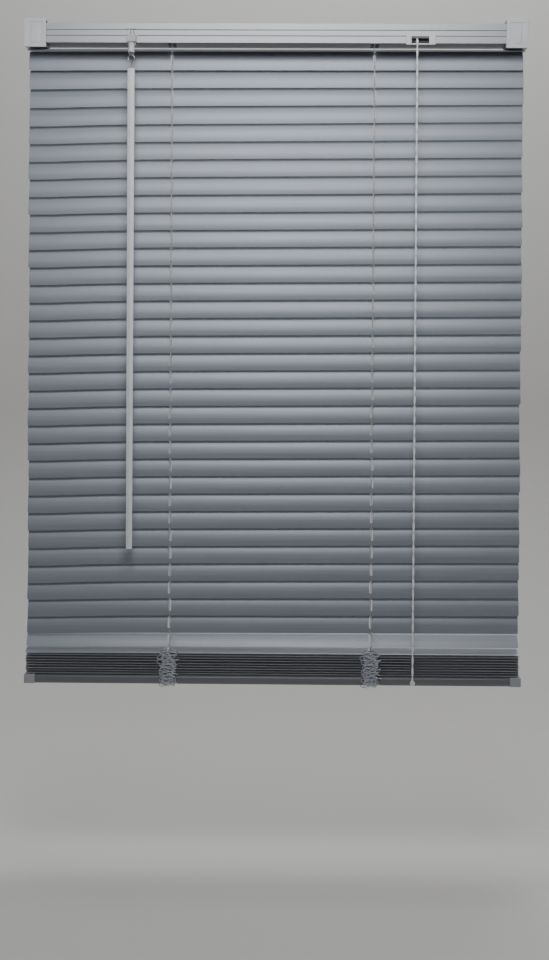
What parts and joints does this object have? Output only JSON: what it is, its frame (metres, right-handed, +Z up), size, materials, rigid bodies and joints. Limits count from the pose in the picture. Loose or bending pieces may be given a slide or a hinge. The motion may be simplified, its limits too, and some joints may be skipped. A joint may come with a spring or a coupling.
{
  "type": "venetian blind",
  "caption": "Venetian blind with curved slats on ladder cords, partly raised, with a headrail in two box brackets, a tilt wand, a cord lock and a bottom rail.",
  "frame": {"origin": "centre of the left bracket's flat top face", "axes": "+Z up, out of the brackets' top faces; +X along the headrail from the left bracket to the right one; the room is on the -Y side"},
  "size_m": [0.6075, 0.0397, 0.806],
  "materials": {
    "slat_grey": "satin grey enamel on thin aluminium",
    "rail_grey": "satin light grey enamel on steel",
    "white_plastic": "smooth moulded off-white",
    "clear_plastic": "clear, slightly grey",
    "bare_metal": "plain zinc-plated",
    "cord_grey": "braided polyester cord"
  },
  "bodies": {
    "frame": {"headrail": "rail_grey", "bracket_left": "white_plastic", "bracket_right": "white_plastic", "tilter_housing": "clear_plastic", "cradle_left": "white_plastic", "cradle_right": "white_plastic", "cord_lock": "white_plastic"},
    "tilt_rod": {"tilt_rod": "bare_metal", "tilter_gear": "white_plastic", "ladder_drum_left": "white_plastic", "ladder_drum_right": "white_plastic"},
    "front_strings": {"ladder_front_left": "cord_grey", "ladder_front_right": "cord_grey"},
    "rear_strings": {"ladder_rear_left": "cord_grey", "ladder_rear_right": "cord_grey"},
    "slat_top": {"slat_top": "slat_grey"},
    "slat_01": {"slat_01": "slat_grey"},
    "slat_02": {"slat_02": "slat_grey"},
    "slat_03": {"slat_03": "slat_grey"},
    "slat_04": {"slat_04": "slat_grey"},
    "slat_05": {"slat_05": "slat_grey"},
    "slat_06": {"slat_06": "slat_grey"},
    "slat_07": {"slat_07": "slat_grey"},
    "slat_08": {"slat_08": "slat_grey"},
    "slat_09": {"slat_09": "slat_grey"},
    "slat_10": {"slat_10": "slat_grey"},
    "slat_11": {"slat_11": "slat_grey"},
    "slat_12": {"slat_12": "slat_grey"},
    "slat_13": {"slat_13": "slat_grey"},
    "slat_14": {"slat_14": "slat_grey"},
    "slat_15": {"slat_15": "slat_grey"},
    "slat_16": {"slat_16": "slat_grey"},
    "slat_17": {"slat_17": "slat_grey"},
    "slat_18": {"slat_18": "slat_grey"},
    "slat_19": {"slat_19": "slat_grey"},
    "slat_20": {"slat_20": "slat_grey"},
    "slat_21": {"slat_21": "slat_grey"},
    "slat_22": {"slat_22": "slat_grey"},
    "slat_23": {"slat_23": "slat_grey"},
    "slat_24": {"slat_24": "slat_grey"},
    "slat_25": {"slat_25": "slat_grey"},
    "slat_26": {"slat_26": "slat_grey"},
    "slat_27": {"slat_27": "slat_grey"},
    "slat_28": {"slat_28": "slat_grey"},
    "slat_29": {"slat_29": "slat_grey"},
    "slat_30": {"slat_30": "slat_grey"},
    "slat_31": {"slat_31": "slat_grey"},
    "slat_32": {"slat_32": "slat_grey"},
    "slat_33": {"slat_33": "slat_grey"},
    "tilter_stem": {"tilter_stem": "white_plastic"},
    "wand_hook": {"wand_hook": "bare_metal"},
    "wand": {"wand": "clear_plastic"},
    "bottom_rail": {"bottom_rail": "rail_grey", "slat_stack": "slat_grey", "lift_cord_left": "cord_grey", "lift_cord_right": "cord_grey"},
    "pull_cord": {"pull_cord": "cord_grey"},
    "cord_lock_roller": {"cord_lock_roller": "white_plastic"},
    "bracket_cover_left": {"bracket_cover_left": "white_plastic"},
    "bracket_cover_right": {"bracket_cover_right": "white_plastic"}
  },
  "joints": [
    {"name": "tilt", "type": "hinge", "parent": "frame", "child": "tilt_rod", "pos_m": [0.2905, 0, -0.0175], "axis": [-1, 0, 0], "range_deg": [0, 136]},
    {"name": "front_string_hang", "type": "hinge", "parent": "tilt_rod", "child": "front_strings", "pos_m": [0.2905, -0.00196, -0.03076], "axis": [-1, 0, 0], "range_deg": [-136, 0], "deforming": ["ladder_front_left", "ladder_front_right"]},
    {"name": "rear_string_hang", "type": "hinge", "parent": "tilt_rod", "child": "rear_strings", "pos_m": [0.2905, 0.00573, -0.00539], "axis": [-1, 0, 0], "range_deg": [-136, 0], "deforming": ["ladder_rear_left", "ladder_rear_right"]},
    {"name": "slat_top_tilt", "type": "hinge", "parent": "frame", "child": "slat_top", "pos_m": [0.2905, 0, -0.0336], "axis": [-1, 0, 0], "range_deg": [0, 10]},
    {"name": "slat_01_tilt", "type": "hinge", "parent": "frame", "child": "slat_01", "pos_m": [0.2905, 0, -0.046], "axis": [-1, 0, 0], "range_deg": [0, 136]},
    {"name": "slat_02_tilt", "type": "hinge", "parent": "frame", "child": "slat_02", "pos_m": [0.2905, 0, -0.0674], "axis": [-1, 0, 0], "range_deg": [0, 136]},
    {"name": "slat_03_tilt", "type": "hinge", "parent": "frame", "child": "slat_03", "pos_m": [0.2905, 0, -0.0888], "axis": [-1, 0, 0], "range_deg": [0, 136]},
    {"name": "slat_04_tilt", "type": "hinge", "parent": "frame", "child": "slat_04", "pos_m": [0.2905, 0, -0.1102], "axis": [-1, 0, 0], "range_deg": [0, 136]},
    {"name": "slat_05_tilt", "type": "hinge", "parent": "frame", "child": "slat_05", "pos_m": [0.2905, 0, -0.1316], "axis": [-1, 0, 0], "range_deg": [0, 136]},
    {"name": "slat_06_tilt", "type": "hinge", "parent": "frame", "child": "slat_06", "pos_m": [0.2905, 0, -0.153], "axis": [-1, 0, 0], "range_deg": [0, 136]},
    {"name": "slat_07_tilt", "type": "hinge", "parent": "frame", "child": "slat_07", "pos_m": [0.2905, 0, -0.1744], "axis": [-1, 0, 0], "range_deg": [0, 136]},
    {"name": "slat_08_tilt", "type": "hinge", "parent": "frame", "child": "slat_08", "pos_m": [0.2905, 0, -0.1958], "axis": [-1, 0, 0], "range_deg": [0, 136]},
    {"name": "slat_09_tilt", "type": "hinge", "parent": "frame", "child": "slat_09", "pos_m": [0.2905, 0, -0.2172], "axis": [-1, 0, 0], "range_deg": [0, 136]},
    {"name": "slat_10_tilt", "type": "hinge", "parent": "frame", "child": "slat_10", "pos_m": [0.2905, 0, -0.2386], "axis": [-1, 0, 0], "range_deg": [0, 136]},
    {"name": "slat_11_tilt", "type": "hinge", "parent": "frame", "child": "slat_11", "pos_m": [0.2905, 0, -0.26], "axis": [-1, 0, 0], "range_deg": [0, 136]},
    {"name": "slat_12_tilt", "type": "hinge", "parent": "frame", "child": "slat_12", "pos_m": [0.2905, 0, -0.2814], "axis": [-1, 0, 0], "range_deg": [0, 136]},
    {"name": "slat_13_tilt", "type": "hinge", "parent": "frame", "child": "slat_13", "pos_m": [0.2905, 0, -0.3028], "axis": [-1, 0, 0], "range_deg": [0, 136]},
    {"name": "slat_14_tilt", "type": "hinge", "parent": "frame", "child": "slat_14", "pos_m": [0.2905, 0, -0.3242], "axis": [-1, 0, 0], "range_deg": [0, 136]},
    {"name": "slat_15_tilt", "type": "hinge", "parent": "frame", "child": "slat_15", "pos_m": [0.2905, 0, -0.3456], "axis": [-1, 0, 0], "range_deg": [0, 136]},
    {"name": "slat_16_tilt", "type": "hinge", "parent": "frame", "child": "slat_16", "pos_m": [0.2905, 0, -0.367], "axis": [-1, 0, 0], "range_deg": [0, 136]},
    {"name": "slat_17_tilt", "type": "hinge", "parent": "frame", "child": "slat_17", "pos_m": [0.2905, 0, -0.3884], "axis": [-1, 0, 0], "range_deg": [0, 136]},
    {"name": "slat_18_tilt", "type": "hinge", "parent": "frame", "child": "slat_18", "pos_m": [0.2905, 0, -0.4098], "axis": [-1, 0, 0], "range_deg": [0, 136]},
    {"name": "slat_19_tilt", "type": "hinge", "parent": "frame", "child": "slat_19", "pos_m": [0.2905, 0, -0.4312], "axis": [-1, 0, 0], "range_deg": [0, 136]},
    {"name": "slat_20_tilt", "type": "hinge", "parent": "frame", "child": "slat_20", "pos_m": [0.2905, 0, -0.4526], "axis": [-1, 0, 0], "range_deg": [0, 136]},
    {"name": "slat_21_tilt", "type": "hinge", "parent": "frame", "child": "slat_21", "pos_m": [0.2905, 0, -0.474], "axis": [-1, 0, 0], "range_deg": [0, 136]},
    {"name": "slat_22_tilt", "type": "hinge", "parent": "frame", "child": "slat_22", "pos_m": [0.2905, 0, -0.4954], "axis": [-1, 0, 0], "range_deg": [0, 136]},
    {"name": "slat_23_tilt", "type": "hinge", "parent": "frame", "child": "slat_23", "pos_m": [0.2905, 0, -0.5168], "axis": [-1, 0, 0], "range_deg": [0, 136]},
    {"name": "slat_24_tilt", "type": "hinge", "parent": "frame", "child": "slat_24", "pos_m": [0.2905, 0, -0.5382], "axis": [-1, 0, 0], "range_deg": [0, 136]},
    {"name": "slat_25_tilt", "type": "hinge", "parent": "frame", "child": "slat_25", "pos_m": [0.2905, 0, -0.5596], "axis": [-1, 0, 0], "range_deg": [0, 136]},
    {"name": "slat_26_tilt", "type": "hinge", "parent": "frame", "child": "slat_26", "pos_m": [0.2905, 0, -0.581], "axis": [-1, 0, 0], "range_deg": [0, 136]},
    {"name": "slat_27_tilt", "type": "hinge", "parent": "frame", "child": "slat_27", "pos_m": [0.2905, 0, -0.6024], "axis": [-1, 0, 0], "range_deg": [0, 136]},
    {"name": "slat_28_tilt", "type": "hinge", "parent": "frame", "child": "slat_28", "pos_m": [0.2905, 0, -0.6238], "axis": [-1, 0, 0], "range_deg": [0, 136]},
    {"name": "slat_29_tilt", "type": "hinge", "parent": "frame", "child": "slat_29", "pos_m": [0.2905, 0, -0.6452], "axis": [-1, 0, 0], "range_deg": [0, 136]},
    {"name": "slat_30_tilt", "type": "hinge", "parent": "frame", "child": "slat_30", "pos_m": [0.2905, 0, -0.6666], "axis": [-1, 0, 0], "range_deg": [0, 136]},
    {"name": "slat_31_tilt", "type": "hinge", "parent": "frame", "child": "slat_31", "pos_m": [0.2905, 0, -0.688], "axis": [-1, 0, 0], "range_deg": [0, 136]},
    {"name": "slat_32_tilt", "type": "hinge", "parent": "frame", "child": "slat_32", "pos_m": [0.2905, 0, -0.7094], "axis": [-1, 0, 0], "range_deg": [0, 136]},
    {"name": "slat_33_tilt", "type": "hinge", "parent": "frame", "child": "slat_33", "pos_m": [0.2905, 0, -0.7308], "axis": [-1, 0, 0], "range_deg": [0, 136]},
    {"name": "tilter_stem_spin", "type": "hinge", "parent": "frame", "child": "tilter_stem", "pos_m": [0.1168, -0.02, -0.0433], "axis": [0, 0.342, 0.9397], "range_deg": [0, 2176]},
    {"name": "wand_swing", "type": "hinge", "parent": "frame", "child": "wand_hook", "pos_m": [0.1168, -0.02, -0.0436], "axis": [-1, 0, 0], "range_deg": [0, 30]},
    {"name": "wand_spin", "type": "hinge", "parent": "wand_hook", "child": "wand", "pos_m": [0.1168, -0.02, -0.062], "axis": [0, 0, 1], "range_deg": [0, 2176]},
    {"name": "lift", "type": "slide", "parent": "frame", "child": "bottom_rail", "axis": [0, 0, 1], "range_m": [-0.162, 0], "deforming": ["slat_stack", "lift_cord_left", "lift_cord_right"]},
    {"name": "pull_cord_run", "type": "slide", "parent": "frame", "child": "pull_cord", "axis": [0, 0, 1], "range_m": [0, 0.162], "deforming": ["pull_cord"]},
    {"name": "roller_spin", "type": "hinge", "parent": "frame", "child": "cord_lock_roller", "pos_m": [0.455, -0.0063, -0.0242], "axis": [0, 0, 1], "range_deg": [0, 3317]},
    {"name": "cover_left", "type": "hinge", "parent": "frame", "child": "bracket_cover_left", "pos_m": [0, -0.0165, -0.0014], "axis": [-1, 0, 0], "range_deg": [0, 95]},
    {"name": "cover_right", "type": "hinge", "parent": "frame", "child": "bracket_cover_right", "pos_m": [0.581, -0.0165, -0.0014], "axis": [-1, 0, 0], "range_deg": [0, 95]}
  ],
  "couplings": [
    {"joint": "front_string_hang", "follows": "tilt", "ratio": -1},
    {"joint": "rear_string_hang", "follows": "tilt", "ratio": -1},
    {"joint": "slat_top_tilt", "follows": "tilt", "ratio": 0.073528},
    {"joint": "slat_01_tilt", "follows": "tilt", "ratio": 1},
    {"joint": "slat_02_tilt", "follows": "tilt", "ratio": 1},
    {"joint": "slat_03_tilt", "follows": "tilt", "ratio": 1},
    {"joint": "slat_04_tilt", "follows": "tilt", "ratio": 1},
    {"joint": "slat_05_tilt", "follows": "tilt", "ratio": 1},
    {"joint": "slat_06_tilt", "follows": "tilt", "ratio": 1},
    {"joint": "slat_07_tilt", "follows": "tilt", "ratio": 1},
    {"joint": "slat_08_tilt", "follows": "tilt", "ratio": 1},
    {"joint": "slat_09_tilt", "follows": "tilt", "ratio": 1},
    {"joint": "slat_10_tilt", "follows": "tilt", "ratio": 1},
    {"joint": "slat_11_tilt", "follows": "tilt", "ratio": 1},
    {"joint": "slat_12_tilt", "follows": "tilt", "ratio": 1},
    {"joint": "slat_13_tilt", "follows": "tilt", "ratio": 1},
    {"joint": "slat_14_tilt", "follows": "tilt", "ratio": 1},
    {"joint": "slat_15_tilt", "follows": "tilt", "ratio": 1},
    {"joint": "slat_16_tilt", "follows": "tilt", "ratio": 1},
    {"joint": "slat_17_tilt", "follows": "tilt", "ratio": 1},
    {"joint": "slat_18_tilt", "follows": "tilt", "ratio": 1},
    {"joint": "slat_19_tilt", "follows": "tilt", "ratio": 1},
    {"joint": "slat_20_tilt", "follows": "tilt", "ratio": 1},
    {"joint": "slat_21_tilt", "follows": "tilt", "ratio": 1},
    {"joint": "slat_22_tilt", "follows": "tilt", "ratio": 1},
    {"joint": "slat_23_tilt", "follows": "tilt", "ratio": 1},
    {"joint": "slat_24_tilt", "follows": "tilt", "ratio": 1},
    {"joint": "slat_25_tilt", "follows": "tilt", "ratio": 1},
    {"joint": "slat_26_tilt", "follows": "tilt", "ratio": 1},
    {"joint": "slat_27_tilt", "follows": "tilt", "ratio": 1},
    {"joint": "slat_28_tilt", "follows": "tilt", "ratio": 1},
    {"joint": "slat_29_tilt", "follows": "tilt", "ratio": 1},
    {"joint": "slat_30_tilt", "follows": "tilt", "ratio": 1},
    {"joint": "slat_31_tilt", "follows": "tilt", "ratio": 1},
    {"joint": "slat_32_tilt", "follows": "tilt", "ratio": 1},
    {"joint": "slat_33_tilt", "follows": "tilt", "ratio": 1},
    {"joint": "tilter_stem_spin", "follows": "tilt", "ratio": 16},
    {"joint": "wand_spin", "follows": "tilt", "ratio": 16},
    {"joint": "pull_cord_run", "follows": "lift", "ratio": -1},
    {"joint": "roller_spin", "follows": "lift", "rad_per_m": -357.14}
  ]
}
